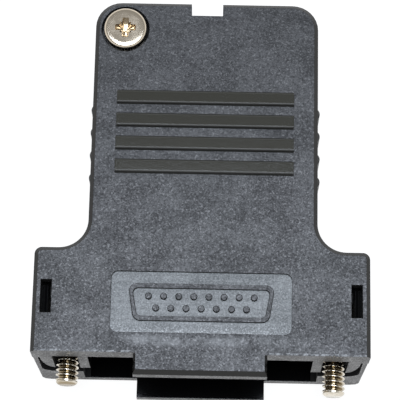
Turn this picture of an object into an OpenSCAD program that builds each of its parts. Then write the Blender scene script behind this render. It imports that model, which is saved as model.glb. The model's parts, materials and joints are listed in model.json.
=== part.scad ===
// Two-part plastic hood for a 15-way D-sub cable connector.
// Origin: centre of the connector seat plane, on the jackscrew axes.
// +X right, +Y towards the cable, +Z up through the cover.

/* [Hood outline] */
// Width across the connector flange
flange_w = 41.4; // [40:0.2:52]
// Length of the connector flange, from the seat plane back to its shoulder
flange_l = 13.2; // [12.4:0.2:17]
// Width of the neck
neck_w = 28.4; // [27.6:0.2:31]
// Length of the hood from the seat plane to its rear wall
body_l = 45.9; // [42:0.5:60]
// Height of the jackscrew axes above the underside
axis_h = 8.3; // [7.8:0.1:10]
// Height of the top face above the jackscrew axes
top_h = 8.3; // [7.8:0.1:10]
// Depth of the cover's outer wall, from the top face down to the seam
cover_wall_h = 3.7; // [3:0.1:4.4]
// Radius of the hollow corner between neck and flange
shoulder_r = 3.6; // [2.4:0.1:4.2]
// Radius of the neck's two rear corners
rear_corner_r = 3.3; // [2:0.1:4]
// Radius of the flange's two rear corners
flange_corner_r = 0.9; // [0.7:0.1:1.5]

/* [Moulding] */
// Thickness of the neck's side walls
wall = 1.6; // [1.2:0.1:2]
// Thickness of the rear wall
rear_wall = 1.75; // [1.4:0.05:2.4]
// Thickness of the cover's top
ceiling = 1.6; // [1.3:0.1:1.9]
// Thickness of the base's floor
floor_t = 1.4; // [1.1:0.1:1.8]
// Thickness of the side walls at the flange ends
flange_wall = 0.9; // [0.7:0.05:1.1]
// Thickness of the front walls that hold the jackscrews
front_wall = 1.5; // [1.2:0.1:2]
// Width of the bevel round the cover's top
bevel_w = 0.5; // [0.2:0.05:0.8]
// Height of the bevel round the cover's top
bevel_h = 0.45; // [0.2:0.05:0.8]
// Step from the cover's side down to the base's side
seam_step = 0.1; // [0:0.05:0.2]
// Draft of the base's sides over their height
draft = 0.25; // [0:0.05:0.5]
// Radius of the base's lower edges
underside_r = 1.1; // [0.6:0.1:1.4]
// Width of the cover's lips inside the base's walls
lip_t = 0.7; // [0.5:0.05:0.9]
// Height of the cover's lips
lip_h = 1; // [0.6:0.1:1.5]
// Clearance between pieces that are put together by hand
fit_gap = 0.1; // [0.05:0.01:0.15]

/* [Connector opening] */
// Width of the opening for the connector's rear body
opening_w = 27.7; // [27.5:0.1:28.1]
// Height of the opening above the jackscrew axes
opening_top = 5.4; // [5.2:0.1:5.8]
// Width of the tab over the connector's edge
tab_w = 16.3; // [12:0.1:18]
// Length of the tab
tab_l = 2.6; // [1.5:0.1:3.5]
// Height from the jackscrew axes to the tab's inner face
tab_gap = 6.3; // [6.2:0.05:6.6]
// Bevel at the tab's front edge
tab_bevel = 0.55; // [0.2:0.05:0.8]
// Bevel at the tab's ends
tab_end_bevel = 0.3; // [0.1:0.05:0.5]

/* [Jackscrews] */
// Distance between the two jackscrews
screw_pitch = 33.32; // [33.3:0.02:34]
// Radius of the jackscrew thread
thread_r = 1.42; // [1.3:0.01:1.6]
// Length of the threaded part
thread_l = 6.3; // [5:0.1:6.4]
// Chamfer at the tip
tip_bevel = 0.35; // [0.2:0.05:0.5]
// How much thinner the thread runs out behind the seat plane
runout = 0.12; // [0.12:0.01:0.2]
// Radius of the plain shank
shank_r = 1.1; // [1.05:0.01:1.2]
// Radius of the groove that the retaining ring sits in
groove_r = 0.95; // [0.85:0.01:1]
// Length from the tip to the front of the retaining ring
ring_from_tip = 6.9; // [6.8:0.1:7.2]
// Length from the tip to the head's seat
head_from_tip = 14.1; // [13.6:0.1:14.4]
// Radius of the head
head_r = 2.4; // [2.1:0.1:2.45]
// Length of the head
head_l = 3; // [2.4:0.1:4]
// Bevel round the head
head_bevel = 0.25; // [0.1:0.05:0.5]
// Width of the screwdriver slot
slot_w = 0.7; // [0.5:0.05:0.9]
// Depth of the screwdriver slot
slot_d = 1.1; // [0.8:0.1:1.4]
// How far the left tip stands out of the seat plane
left_tip = 2.45; // [1:0.05:5]
// How far the right tip stands out of the seat plane
right_tip = 3.25; // [1:0.05:5]
// Outer radius of the retaining ring
ring_r = 2.1; // [1.9:0.05:2.15]
// Thickness of the retaining ring
ring_t = 0.8; // [0.6:0.1:0.9]
// Running clearance of the ring round its groove
ring_play = 0.05; // [0.02:0.01:0.08]

/* [Jackscrew channels] */
// Where the web behind the retaining ring starts
web_y = 7.3; // [7:0.1:8]
// Thickness of the web
web_t = 1.3; // [1:0.1:1.6]
// Height of the web above the jackscrew axes
web_top = 3; // [2.6:0.1:3.2]
// Height of the posts' feet
post_foot = -1; // [-2:0.1:0]
// Height of the channels' floors
channel_floor = -3.3; // [-4:0.1:-2.4]
// Width of the base's rim outside the front pockets
pocket_rim = 0.6; // [0.4:0.05:0.8]
// Radius of the front pockets' lower corners
pocket_r = 1.9; // [1:0.1:2.4]
// Radial clearance of the thread in its slot and holes
screw_gap = 0.15; // [0.1:0.01:0.2]
// Radial clearance of the head in its hole
head_gap = 0.2; // [0.15:0.01:0.3]

/* [Housing screw] */
// Distance of the housing screw from the middle
boss_x = 10.4; // [10:0.1:10.8]
// Distance of the housing screw from the rear end
boss_from_rear = 3.75; // [3.6:0.05:5]
// Radius of the screw thread
m3_r = 1.5; // [1.5:0.05:1.6]
// Clearance of the screw in its holes
m3_gap = 0.1; // [0.05:0.01:0.2]
// Radius of the pan head
pan_r = 2.73; // [2.5:0.01:2.8]
// Height of the pan head
pan_h = 2.3; // [1.8:0.1:2.4]
// Radius of the counterbore
counterbore_r = 3.07; // [2.9:0.01:3.2]
// Depth of the counterbore
counterbore_d = 1.7; // [1:0.1:2.2]
// Wall round the counterbore
boss_wall = 0.35; // [0.25:0.05:0.5]
// Length of the housing screw under its head
housing_screw_l = 14; // [12:1:15]
// Width of the nuts across flats
nut_af = 5.5; // [5.5:0.1:5.7]
// Height of the nuts
nut_h = 2.4; // [1.8:0.1:2.6]
// How far the housing screw's nut is sunk into the underside
nut_sink = 0.2; // [0.1:0.05:0.5]
// Length of the cross recesses across
recess_l = 2.7; // [2.2:0.1:3]
// Width of a cross recess's slots
recess_w = 0.56; // [0.4:0.02:0.7]
// Depth of the cross recesses
recess_d = 1.2; // [0.8:0.1:1.4]
// Radius of the plug that lines up the other rear corner
plug_r = 1.4; // [1:0.1:1.6]
// Length of the plug
plug_l = 2.5; // [1.5:0.1:3]

/* [Grip bars and panel] */
// Number of grip bars
bar_n = 4; // [2:1:5]
// Distance from one bar to the next
bar_pitch = 3.05; // [2.6:0.05:3.4]
// Place of the first bar's middle
bar_y = 23.75; // [22:0.25:26]
// Length of the bars
bar_l = 22.3; // [16:0.1:24]
// Width of the bars
bar_w = 1.8; // [1.2:0.1:2]
// Height of the bars
bar_h = 0.5; // [0.3:0.05:0.8]
// Radius of the bars' upper edges
bar_edge_r = 0.3; // [0.1:0.05:0.4]
// How far the side grips stand out
grip_h = 0.6; // [0.3:0.05:0.8]
// Width of the recessed panel
panel_w = 22.2; // [16:0.1:24]
// Length of the recessed panel
panel_l = 7.7; // [5:0.1:8]
// Where the recessed panel starts
panel_y = 2.55; // [2:0.05:4]
// Depth of the recessed panel
panel_d = 0.35; // [0.2:0.05:0.5]
// Corner radius of the recessed panel
panel_r = 0.9; // [0.4:0.1:1.5]

/* [Snap hooks] */
// Width of the windows over the hooks
window_w = 1.4; // [1.3:0.1:1.5]
// Length of the windows
window_l = 4.2; // [3.4:0.1:4.6]
// Where the windows start
window_y = 4.8; // [4.6:0.1:5.2]
// Thickness of the hooks
hook_t = 0.4; // [0.3:0.05:0.45]
// How far a hook's nose reaches over the cover's ledge
catch = 0.3; // [0.2:0.05:0.35]
// Height of the ledge above the seam
ledge_h = 0.8; // [0.6:0.1:1]
// Height of the hook's nose
nose_h = 1; // [0.8:0.1:1.2]

/* [Cable outlet and clamp] */
// Radius of the cable outlet
outlet_r = 4.5; // [3.5:0.1:4.8]
// Width of the notch over the outlet
notch_w = 4; // [3:0.1:5]
// Where the middle of the cable clamp lies
clamp_y = 34; // [32:0.25:36]
// Width of the clamp saddles along the cable
saddle_l = 5.4; // [4.5:0.1:6]
// Thickness of the clamp saddles
saddle_t = 1.3; // [1:0.1:1.5]
// Inner radius of the saddles' arches
saddle_r = 3.6; // [2.5:0.1:3.8]
// Gap between the two saddles' wings
saddle_gap = 2; // [1.6:0.1:2.4]
// Distance of the clamp screws from the middle
clamp_x = 8; // [7.8:0.1:8.2]
// Length of the clamp screws under their heads
clamp_screw_l = 8; // [7:1:8]
// Height of the clamp screws' heads
clamp_head_h = 1.8; // [1.6:0.1:2.2]

/* [Hidden] */
$fn = 48;
eps = 0.01;
// how far a cut runs past the face it opens
past = 1;
// how far a solid runs into the one it grows from
root = 0.2;

top_z = top_h;
bottom_z = -axis_h;
seam_z = top_z - cover_wall_h;
ceiling_z = top_z - ceiling;
floor_z = bottom_z + floor_t;
screw_x = screw_pitch / 2;
neck_in = neck_w / 2 - wall;
flange_in = flange_w / 2 - flange_wall - seam_step;
rear_in = body_l - rear_wall;
thread_hole_r = thread_r + screw_gap;
head_hole_r = head_r + head_gap;
web_rear = web_y + web_t;
post_x = opening_w / 2;
pocket_side = flange_w / 2 - seam_step - pocket_rim;
boss_y = body_l - boss_from_rear;
boss_r = counterbore_r + boss_wall;
pan_seat = top_z - counterbore_d;
window_x = flange_in + seam_step / 2 - window_w;
hook_l = window_l - 6 * fit_gap;
lip_start = flange_l + 2;
wing_z = saddle_gap / 2;
saddle_end = neck_in - 3 * fit_gap;
nut_corner = nut_af / 2 / cos(30);
nut_play = 0.08;
carrier_x = clamp_x + nut_corner + 2 * fit_gap;

cover_levels = [[seam_z, 0], [top_z - bevel_h, 0], [top_z, bevel_w]];
// share of the underside's round at which its two bevels meet
split = 0.3;
base_levels = [
  [bottom_z, seam_step + draft + underside_r],
  [bottom_z + split * underside_r, seam_step + draft + split * underside_r],
  [bottom_z + underside_r, seam_step + draft],
  [seam_z, seam_step]
];

// Mirrored copies on the left and on the right
module both_sides() {
  children();
  mirror([1, 0, 0]) children();
}

// Block with rounded upright corners, drafted and bevelled through [height, inset] levels.
// Where a level is inset by more than the corner radius, its corners move in with a small radius.
module levelled_block(x, y0, y1, r, levels) {
  least_r = 0.1;
  hull()
    for (i = [0 : len(levels) - 2], sx = [-1, 1], sy = [-1, 1]) {
      moved_in = max(levels[i][1] - r + least_r, 0);
      low_r = r - levels[i][1] + moved_in;
      translate([
        sx * (x - r - moved_in),
        (y0 + y1) / 2 + sy * ((y1 - y0) / 2 - r - moved_in),
        levels[i][0]
      ])
        cylinder(
          r1 = low_r, r2 = moved_in > 0 ? low_r : r - levels[i + 1][1],
          h = moved_in > 0 ? eps : levels[i + 1][0] - levels[i][0], $fn = 32
        );
    }
}

// Hollow corner between neck and flange, which follows the same levels
module shoulder(levels) {
  centre = [neck_w / 2 + shoulder_r, flange_l + shoulder_r];
  low = levels[0][0];
  high = levels[len(levels) - 1][0];
  difference() {
    translate([neck_in, flange_l - wall, low])
      cube([shoulder_r + wall, shoulder_r + wall, high - low]);
    for (i = [0 : len(levels) - 2])
      translate([centre.x, centre.y, levels[i][0]])
        cylinder(
          r1 = shoulder_r + levels[i][1], r2 = shoulder_r + levels[i + 1][1],
          h = levels[i + 1][0] - levels[i][0]
        );
  }
}

// Outer form of one half, cut flat at the seat plane
module half_body(levels) {
  low = levels[0][0];
  high = levels[len(levels) - 1][0];
  // the blocks start where neither front corner shows
  neck_start = 2;
  flange_start = -4;
  difference() {
    union() {
      levelled_block(neck_w / 2, neck_start, body_l, rear_corner_r, levels);
      levelled_block(flange_w / 2, flange_start, flange_l, flange_corner_r, levels);
    }
    translate([-flange_w, flange_start - past, low - past])
      cube([2 * flange_w, past - flange_start, high - low + 2 * past]);
  }
  both_sides() shoulder(levels);
}

// Tab over the edge of the connector's flange, bevelled on three sides
module tab() {
  hull() {
    translate([-tab_w / 2, -tab_l, tab_gap])
      cube([tab_w, tab_l + root, top_z - tab_bevel - tab_gap]);
    translate([-tab_w / 2 + tab_end_bevel, -tab_l + tab_bevel, top_z - eps])
      cube([tab_w - 2 * tab_end_bevel, tab_l - tab_bevel + root, eps]);
  }
}

// One grip bar with rounded upper edges
module grip_bar() {
  translate([-bar_l / 2, 0, top_z])
    rotate([90, 0, 90])
      linear_extrude(bar_l) {
        translate([-bar_w / 2, -root]) square([bar_w, bar_h - bar_edge_r + root]);
        translate([-bar_w / 2 + bar_edge_r, 0]) square([bar_w - 2 * bar_edge_r, bar_h]);
        for (s = [-1, 1])
          translate([s * (bar_w / 2 - bar_edge_r), bar_h - bar_edge_r]) circle(r = bar_edge_r);
      }
}

// One upright grip rib on the base's side
module side_grip() {
  rib_r = bar_w / 2;
  tip_h = 0.5;
  low = bottom_z + underside_r + 3 * tip_h;
  high = seam_z - 3 * tip_h;
  translate([neck_w / 2 - seam_step + grip_h - rib_r, 0, 0]) {
    translate([0, 0, low]) cylinder(r = rib_r, h = high - low);
    translate([0, 0, high]) cylinder(r1 = rib_r, r2 = rib_r - tip_h, h = tip_h);
    translate([0, 0, low - tip_h]) cylinder(r1 = rib_r - tip_h, r2 = rib_r, h = tip_h);
  }
}

// Outline, in the seat plane, of the cover's block outside the jackscrew slot
module outer_block_outline() {
  inner = screw_x + thread_hole_r;
  side = flange_w / 2 - seam_step - fit_gap;
  shoulder_x = pocket_side - 2 * fit_gap;
  shoulder_z = seam_z + 2 * fit_gap;
  polygon([
    [inner, ceiling_z], [side, ceiling_z], [side, shoulder_z],
    for (a = [0 : 15 : 90])
      [inner + (shoulder_x - inner) * cos(a), shoulder_z + (post_foot - shoulder_z) * sin(a)]
  ]);
}

module cover_shell() {
  color("#3a3b3d")
  difference() {
    union() {
      difference() {
        half_body(cover_levels);
        // room under the ceiling
        translate([-neck_in, 0, seam_z - past])
          cube([2 * neck_in, rear_in, ceiling_z - seam_z + past]);
        translate([-flange_in, front_wall, seam_z - past])
          cube([2 * flange_in, flange_l - wall - front_wall, ceiling_z - seam_z + past]);
        translate([-flange_in, -past, seam_z - past])
          cube([2 * flange_in, front_wall + past + eps, ceiling_z - seam_z + past]);
      }
      // front lintel above the connector opening
      translate([-flange_in - eps, 0, opening_top])
        cube([2 * flange_in + 2 * eps, front_wall, top_z - opening_top - bevel_h]);
      // posts and blocks either side of the jackscrew slots
      both_sides() {
        translate([post_x, 0, post_foot])
          cube([screw_x - thread_hole_r - post_x, front_wall, ceiling_z - post_foot + eps]);
        translate([0, front_wall, 0]) rotate([90, 0, 0])
          linear_extrude(front_wall) outer_block_outline();
        // rib over the base's web
        translate([post_x, web_y, web_top + fit_gap])
          cube([screw_x + ring_r - post_x, web_t, ceiling_z - web_top - fit_gap + eps]);
        // ledge that the base's snap hook catches on
        translate([flange_in - catch, window_y, seam_z])
          cube([catch + eps, window_l, ledge_h]);
        // lip inside the base's neck walls
        translate([neck_in - fit_gap - lip_t, lip_start, seam_z - lip_h])
          cube([lip_t, boss_y - boss_r - 5 * fit_gap - lip_start, ceiling_z - seam_z + lip_h + eps]);
        // pads that hold the clamp's upper saddle down
        translate([carrier_x, clamp_y - saddle_l / 2, wing_z + saddle_t + fit_gap])
          cube([neck_in - fit_gap - carrier_x, saddle_l, ceiling_z - wing_z - saddle_t]);
      }
      tab();
      for (i = [0 : bar_n - 1])
        translate([0, bar_y + i * bar_pitch, 0]) grip_bar();
      // boss under the housing screw, and its twin
      both_sides()
        intersection() {
          translate([boss_x, boss_y, seam_z]) cylinder(r = boss_r, h = ceiling_z - seam_z + eps);
          translate([0, 0, seam_z - past]) cube([neck_w / 2 - bevel_w, body_l - bevel_w, top_z]);
        }
      // locating plug under the twin boss
      translate([boss_x, boss_y, seam_z - plug_l]) cylinder(r = plug_r, h = plug_l + root);
      // tongue that closes the base's outlet from above
      translate([-outlet_r + fit_gap, rear_in, 0])
        cube([2 * (outlet_r - fit_gap), rear_wall, seam_z + eps]);
    }
    // recessed panel
    translate([0, panel_y, top_z - panel_d])
      linear_extrude(past) {
        translate([-panel_w / 2 + panel_r, 0]) square([panel_w - 2 * panel_r, panel_l]);
        translate([-panel_w / 2, panel_r]) square([panel_w, panel_l - 2 * panel_r]);
        for (sx = [-1, 1], y = [panel_r, panel_l - panel_r])
          translate([sx * (panel_w / 2 - panel_r), y]) circle(r = panel_r);
      }
    // windows over the snap hooks
    both_sides()
      translate([window_x, window_y, ceiling_z - past])
        cube([window_w, window_l, ceiling + 2 * past]);
    // housing screw
    translate([-boss_x, boss_y, seam_z - past])
      cylinder(r = m3_r + m3_gap, h = top_z);
    translate([-boss_x, boss_y, pan_seat])
      cylinder(r = counterbore_r, h = counterbore_d + past);
    // cable outlet and the notch above it
    translate([0, body_l + past, 0]) rotate([90, 0, 0])
      cylinder(r = outlet_r, h = rear_wall + 2 * past);
    translate([-notch_w / 2, rear_in, 0])
      cube([notch_w, rear_wall + past, top_z + past]);
  }
}

// Snap hook inside the flange's end, above the retaining ring:
// a root on the base's wall, a thin plate and a nose over the cover's ledge
module snap_hook() {
  inside = flange_in - fit_gap - catch - hook_t;
  outside = inside + hook_t;
  foot_z = ring_r + 2 * fit_gap;
  free_z = foot_z + 3 * hook_t;
  nose_z = seam_z + ledge_h + fit_gap;
  translate([0, window_y + (window_l + hook_l) / 2, 0]) rotate([90, 0, 0])
    linear_extrude(hook_l)
      polygon([
        [inside, foot_z], [flange_in + root, foot_z], [flange_in + root, free_z], [outside, free_z],
        [outside, nose_z], [outside + catch, nose_z], [outside + catch, nose_z + nose_h / 3],
        [outside, nose_z + nose_h], [inside, nose_z + nose_h]
      ]);
}

module base_shell() {
  color("#333436")
  difference() {
    union() {
      difference() {
        half_body(base_levels);
        // room for the wires
        translate([-neck_in, web_rear, floor_z])
          cube([2 * neck_in, rear_in - web_rear, seam_z - floor_z + past]);
        // room for the connector
        translate([-post_x - past, -past, floor_z])
          cube([2 * (post_x + past), web_y + past, seam_z - floor_z + past]);
        translate([-neck_in, -past, floor_z])
          cube([2 * neck_in, web_rear + 2 * past, seam_z - floor_z + past]);
        // channels for the jackscrews and the cover's blocks
        both_sides() {
          translate([post_x, front_wall, channel_floor])
            cube([flange_in - post_x, web_y - front_wall, seam_z - channel_floor + past]);
          translate([0, front_wall + eps, 0]) rotate([90, 0, 0])
            linear_extrude(front_wall + past) front_pocket();
          translate([post_x, web_y - eps, web_top])
            cube([flange_in - post_x, flange_l - wall - web_y, seam_z - web_top + past]);
        }
      }
      both_sides() snap_hook();
      mirror([0, 0, 1]) translate([0, 0, axis_h - top_h]) tab();
      both_sides()
        for (i = [0 : bar_n - 1])
          translate([0, bar_y + i * bar_pitch, 0]) side_grip();
      // bosses for the housing screw and the cover's plug
      both_sides()
        intersection() {
          translate([boss_x, boss_y, floor_z - eps])
            cylinder(r = boss_r, h = seam_z - floor_z - fit_gap);
          translate([0, 0, bottom_z]) cube([neck_w / 2 - bevel_w, body_l - bevel_w, 2 * top_z]);
        }
      // carriers of the clamp's lower saddle
      both_sides()
        translate([carrier_x, clamp_y - saddle_l / 2, floor_z - eps])
          cube([neck_in - carrier_x + eps, saddle_l, -wing_z - saddle_t - floor_z + eps]);
    }
    // jackscrews
    both_sides()
      translate([screw_x, 0, 0]) rotate([-90, 0, 0]) {
        translate([0, 0, web_y - past]) cylinder(r = thread_hole_r, h = web_t + 2 * past);
        translate([0, 0, web_rear]) cylinder(r = head_hole_r, h = flange_l + shoulder_r - web_rear);
      }
    // housing screw and its nut
    translate([-boss_x, boss_y, bottom_z - past])
      cylinder(r = m3_r + m3_gap, h = seam_z - bottom_z + 2 * past);
    translate([-boss_x, boss_y, bottom_z - past])
      cylinder(r = nut_corner + nut_play, h = nut_h + nut_sink + past, $fn = 6);
    // socket of the locating plug
    translate([boss_x, boss_y, seam_z - plug_l - 5 * fit_gap])
      cylinder(r = plug_r + fit_gap, h = plug_l + 5 * fit_gap + past);
    // cable outlet, open upwards for laying the cable in
    translate([0, body_l + past, 0]) rotate([90, 0, 0])
      linear_extrude(rear_wall + 2 * past) {
        circle(r = outlet_r);
        translate([-outlet_r, 0]) square([2 * outlet_r, seam_z + past]);
      }
  }
}

// Outline, in the seat plane, of the base's pocket round the jackscrew
module front_pocket() {
  translate([post_x, channel_floor])
    square([pocket_side - pocket_r - post_x, seam_z - channel_floor + past]);
  translate([post_x, channel_floor + pocket_r])
    square([pocket_side - post_x, seam_z - channel_floor - pocket_r + past]);
  translate([pocket_side - pocket_r, channel_floor + pocket_r]) circle(r = pocket_r);
}

// Jackscrew with its tip at the given distance in front of the seat plane
module jackscrew(tip) {
  color("#c9c4b8")
  translate([0, -tip, 0]) rotate([-90, 0, 0])
    difference() {
      union() {
        cylinder(r1 = thread_r - tip_bevel, r2 = thread_r, h = tip_bevel);
        translate([0, 0, tip_bevel]) cylinder(r = thread_r, h = tip - tip_bevel);
        translate([0, 0, tip - eps]) cylinder(r = thread_r - runout, h = thread_l - tip + eps);
        translate([0, 0, thread_l - eps])
          cylinder(r = shank_r, h = ring_from_tip - ring_play - thread_l + eps);
        translate([0, 0, ring_from_tip - ring_play - eps])
          cylinder(r = groove_r, h = ring_t + 2 * ring_play + 2 * eps);
        translate([0, 0, ring_from_tip + ring_t + ring_play])
          cylinder(r = shank_r, h = head_from_tip - ring_from_tip - ring_t - ring_play + eps);
        translate([0, 0, head_from_tip]) cylinder(r = head_r, h = head_l - head_bevel);
        translate([0, 0, head_from_tip + head_l - head_bevel])
          cylinder(r1 = head_r, r2 = head_r - head_bevel, h = head_bevel);
      }
      // screwdriver slot
      translate([-head_r - past, -slot_w / 2, head_from_tip + head_l - slot_d])
        cube([2 * (head_r + past), slot_w, slot_d + past]);
    }
}

module left_jackscrew() { translate([-screw_x, 0, 0]) jackscrew(left_tip); }
module right_jackscrew() { translate([screw_x, 0, 0]) jackscrew(right_tip); }

// Open retaining ring in the jackscrew's groove
module retaining_ring(tip) {
  inner = groove_r + ring_play;
  mouth = 1.6 * inner;
  color("#8d8f92")
  translate([0, ring_from_tip - tip, 0]) rotate([-90, 0, 0])
    difference() {
      cylinder(r = ring_r, h = ring_t);
      translate([0, 0, -past]) cylinder(r = inner, h = ring_t + 2 * past);
      translate([-mouth / 2, -ring_r - past, -past]) cube([mouth, ring_r + past, ring_t + 2 * past]);
    }
}

module left_retaining_ring() { translate([-screw_x, 0, 0]) retaining_ring(left_tip); }
module right_retaining_ring() { translate([screw_x, 0, 0]) retaining_ring(right_tip); }

// Pan-head screw, seat at the origin and thread pointing down; the head is domed in two steps
module pan_screw(length, head_h) {
  tip = 0.3;
  side_h = 0.45 * head_h;
  dome_h = 0.75 * head_h;
  dome_r = 0.9 * pan_r;
  crown_r = 0.6 * pan_r;
  color("#cfc9bb")
  difference() {
    union() {
      translate([0, 0, -length]) cylinder(r1 = m3_r - tip, r2 = m3_r, h = tip);
      translate([0, 0, -length + tip]) cylinder(r = m3_r, h = length - tip + eps);
      cylinder(r = pan_r, h = side_h);
      translate([0, 0, side_h]) cylinder(r1 = pan_r, r2 = dome_r, h = dome_h - side_h);
      translate([0, 0, dome_h]) cylinder(r1 = dome_r, r2 = crown_r, h = head_h - dome_h);
    }
    // cross recess
    for (a = [0, 90])
      rotate([0, 0, a]) translate([-recess_l / 2, -recess_w / 2, head_h - recess_d])
        cube([recess_l, recess_w, recess_d + past]);
  }
}

module housing_screw() { translate([-boss_x, boss_y, pan_seat]) pan_screw(housing_screw_l, pan_h); }

// Hexagon nut with its lower face at the origin
module hex_nut() {
  thread_play = 0.02;
  color("#c5c2ba")
  difference() {
    cylinder(r = nut_corner, h = nut_h, $fn = 6);
    translate([0, 0, -past]) cylinder(r = m3_r + thread_play, h = nut_h + 2 * past);
  }
}

module housing_nut() { translate([-boss_x, boss_y, bottom_z + nut_sink]) hex_nut(); }

// Clamp saddle, a strip with an arch over the cable, wings at wing_z
module clamp_saddle() {
  color("#a9abad")
  translate([0, clamp_y + saddle_l / 2, 0]) rotate([90, 0, 0])
    difference() {
      linear_extrude(saddle_l)
        difference() {
          union() {
            translate([-saddle_end, wing_z]) square([2 * saddle_end, saddle_t]);
            translate([0, wing_z]) circle(r = saddle_r + saddle_t);
          }
          translate([0, wing_z]) circle(r = saddle_r);
          translate([-saddle_end - past, wing_z - 2 * saddle_r])
            square([2 * saddle_end + 2 * past, 2 * saddle_r]);
        }
      for (s = [-1, 1])
        translate([s * clamp_x, 0, saddle_l / 2]) rotate([-90, 0, 0])
          cylinder(r = m3_r + m3_gap, h = 2 * top_z, center = true);
    }
}

module clamp_saddle_upper() { clamp_saddle(); }
module clamp_saddle_lower() { mirror([0, 0, 1]) clamp_saddle(); }

module clamp_screw() { translate([0, clamp_y, wing_z + saddle_t]) pan_screw(clamp_screw_l, clamp_head_h); }
module left_clamp_screw() { translate([-clamp_x, 0, 0]) clamp_screw(); }
module right_clamp_screw() { translate([clamp_x, 0, 0]) clamp_screw(); }

module clamp_nut() { translate([0, clamp_y, -wing_z - saddle_t - nut_h]) hex_nut(); }
module left_clamp_nut() { translate([-clamp_x, 0, 0]) clamp_nut(); }
module right_clamp_nut() { translate([clamp_x, 0, 0]) clamp_nut(); }

cover_shell();
base_shell();
housing_screw();
housing_nut();
left_jackscrew();
right_jackscrew();
left_retaining_ring();
right_retaining_ring();
clamp_saddle_upper();
clamp_saddle_lower();
left_clamp_screw();
right_clamp_screw();
left_clamp_nut();
right_clamp_nut();
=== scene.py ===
"""Looks of the 15-way D-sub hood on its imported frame: plastic halves, nickel screws, clamp and rings."""
import json
import math

import bmesh
import bpy
from mathutils import Matrix, Vector


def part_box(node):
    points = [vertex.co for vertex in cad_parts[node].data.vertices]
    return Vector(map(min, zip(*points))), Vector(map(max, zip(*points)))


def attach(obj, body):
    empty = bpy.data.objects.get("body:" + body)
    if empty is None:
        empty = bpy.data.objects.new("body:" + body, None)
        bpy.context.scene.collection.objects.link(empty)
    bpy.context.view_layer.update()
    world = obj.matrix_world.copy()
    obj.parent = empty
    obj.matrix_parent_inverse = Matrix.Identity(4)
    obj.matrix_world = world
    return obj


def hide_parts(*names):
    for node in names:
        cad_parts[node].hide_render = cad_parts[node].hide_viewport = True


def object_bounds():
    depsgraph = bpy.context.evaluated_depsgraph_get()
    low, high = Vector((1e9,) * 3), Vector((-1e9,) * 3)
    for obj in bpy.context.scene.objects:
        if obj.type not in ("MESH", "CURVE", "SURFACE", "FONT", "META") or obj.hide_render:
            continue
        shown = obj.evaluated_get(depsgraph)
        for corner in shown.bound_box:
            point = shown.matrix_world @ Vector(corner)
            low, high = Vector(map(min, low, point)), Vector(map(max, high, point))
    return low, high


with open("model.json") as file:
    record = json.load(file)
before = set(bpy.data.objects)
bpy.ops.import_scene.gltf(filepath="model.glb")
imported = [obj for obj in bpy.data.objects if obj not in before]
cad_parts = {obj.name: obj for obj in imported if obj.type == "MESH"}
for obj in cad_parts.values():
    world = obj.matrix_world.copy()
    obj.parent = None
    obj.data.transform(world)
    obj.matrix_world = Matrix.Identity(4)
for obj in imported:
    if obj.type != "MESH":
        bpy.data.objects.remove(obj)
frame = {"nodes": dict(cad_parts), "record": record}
CAD_LOW, CAD_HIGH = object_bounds()
NODES = frame["nodes"]
MM = 0.001
TAU = 2 * math.pi

# Heights, places and threads in millimetres, as the hood's construction has them
TOP_Z = 8.3
PANEL_LEVEL = TOP_Z - 0.35
PANEL_Y, PANEL_L, PANEL_HALF_W = 2.55, 7.7, 11.1
PANEL_MIDDLE = PANEL_Y + PANEL_L / 2
FLANGE_HALF_W = 20.7
STUD_R = frame["record"]["mounts"][0]["dims"]["stud_r_mm"]
UNC_PITCH = 0.635
M3_R, M3_BORE_R, M3_PITCH = 1.5, 1.52, 0.5

# A 60 degree thread: its depth as a share of the pitch, and its crest and flank as shares of half a pitch
THREAD_DEPTH, CREST, FLANK = 0.61, 0.18, 0.62


# ---------------------------------------------------------------- mesh helpers

def box_mm(node):
    """Low and high corner of a CAD node's box, in millimetres."""
    return [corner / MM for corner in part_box(node)]


def link_mesh(name, verts, faces, smooth_angle=35):
    """A mesh object from points in millimetres, shaded smooth up to the given edge angle."""
    mesh = bpy.data.meshes.new(name)
    mesh.from_pydata([Vector(v) * MM for v in verts], [], faces)
    mesh.validate()
    obj = bpy.data.objects.new(name, mesh)
    bpy.context.scene.collection.objects.link(obj)
    clean_normals(obj)
    shade(obj, smooth_angle)
    return obj


def clean_normals(obj):
    """Turns all faces outward."""
    bm = bmesh.new()
    bm.from_mesh(obj.data)
    bmesh.ops.recalc_face_normals(bm, faces=bm.faces)
    bm.to_mesh(obj.data)
    bm.free()


def shade(obj, smooth_angle):
    """Smooth faces, with edges over the angle kept sharp."""
    bm = bmesh.new()
    bm.from_mesh(obj.data)
    limit = math.radians(smooth_angle)
    for face in bm.faces:
        face.smooth = True
    for edge in bm.edges:
        edge.smooth = len(edge.link_faces) == 2 and edge.calc_face_angle(0) < limit
    bm.to_mesh(obj.data)
    bm.free()


def tube(rings, capped=True):
    """Points and faces of a tube through closed rings with equal numbers of points."""
    n = len(rings[0])
    verts = [p for ring in rings for p in ring]
    faces = []
    for i in range(len(rings) - 1):
        for k in range(n):
            a, b = i * n + k, i * n + (k + 1) % n
            faces.append((a, b, b + n, a + n))
    if capped:
        faces.append(tuple(reversed(range(n))))
        faces.append(tuple(range(len(verts) - n, len(verts))))
    return verts, faces


def circle_points(radius, along, count, to_frame):
    """Points of a circle at a distance along its axis, set into the frame."""
    turns = [TAU * k / count for k in range(count)]
    return [to_frame(radius * math.cos(a), radius * math.sin(a), along) for a in turns]


def thread_radius(turn, along, major, pitch):
    """Radius of a 60 degree thread at a turn (0 to 1) and a distance along the axis."""
    off_crest = abs(2 * ((along / pitch - turn) % 1) - 1)
    fall = min(max((off_crest - CREST) / FLANK, 0), 1)
    return major - THREAD_DEPTH * pitch * fall


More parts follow.
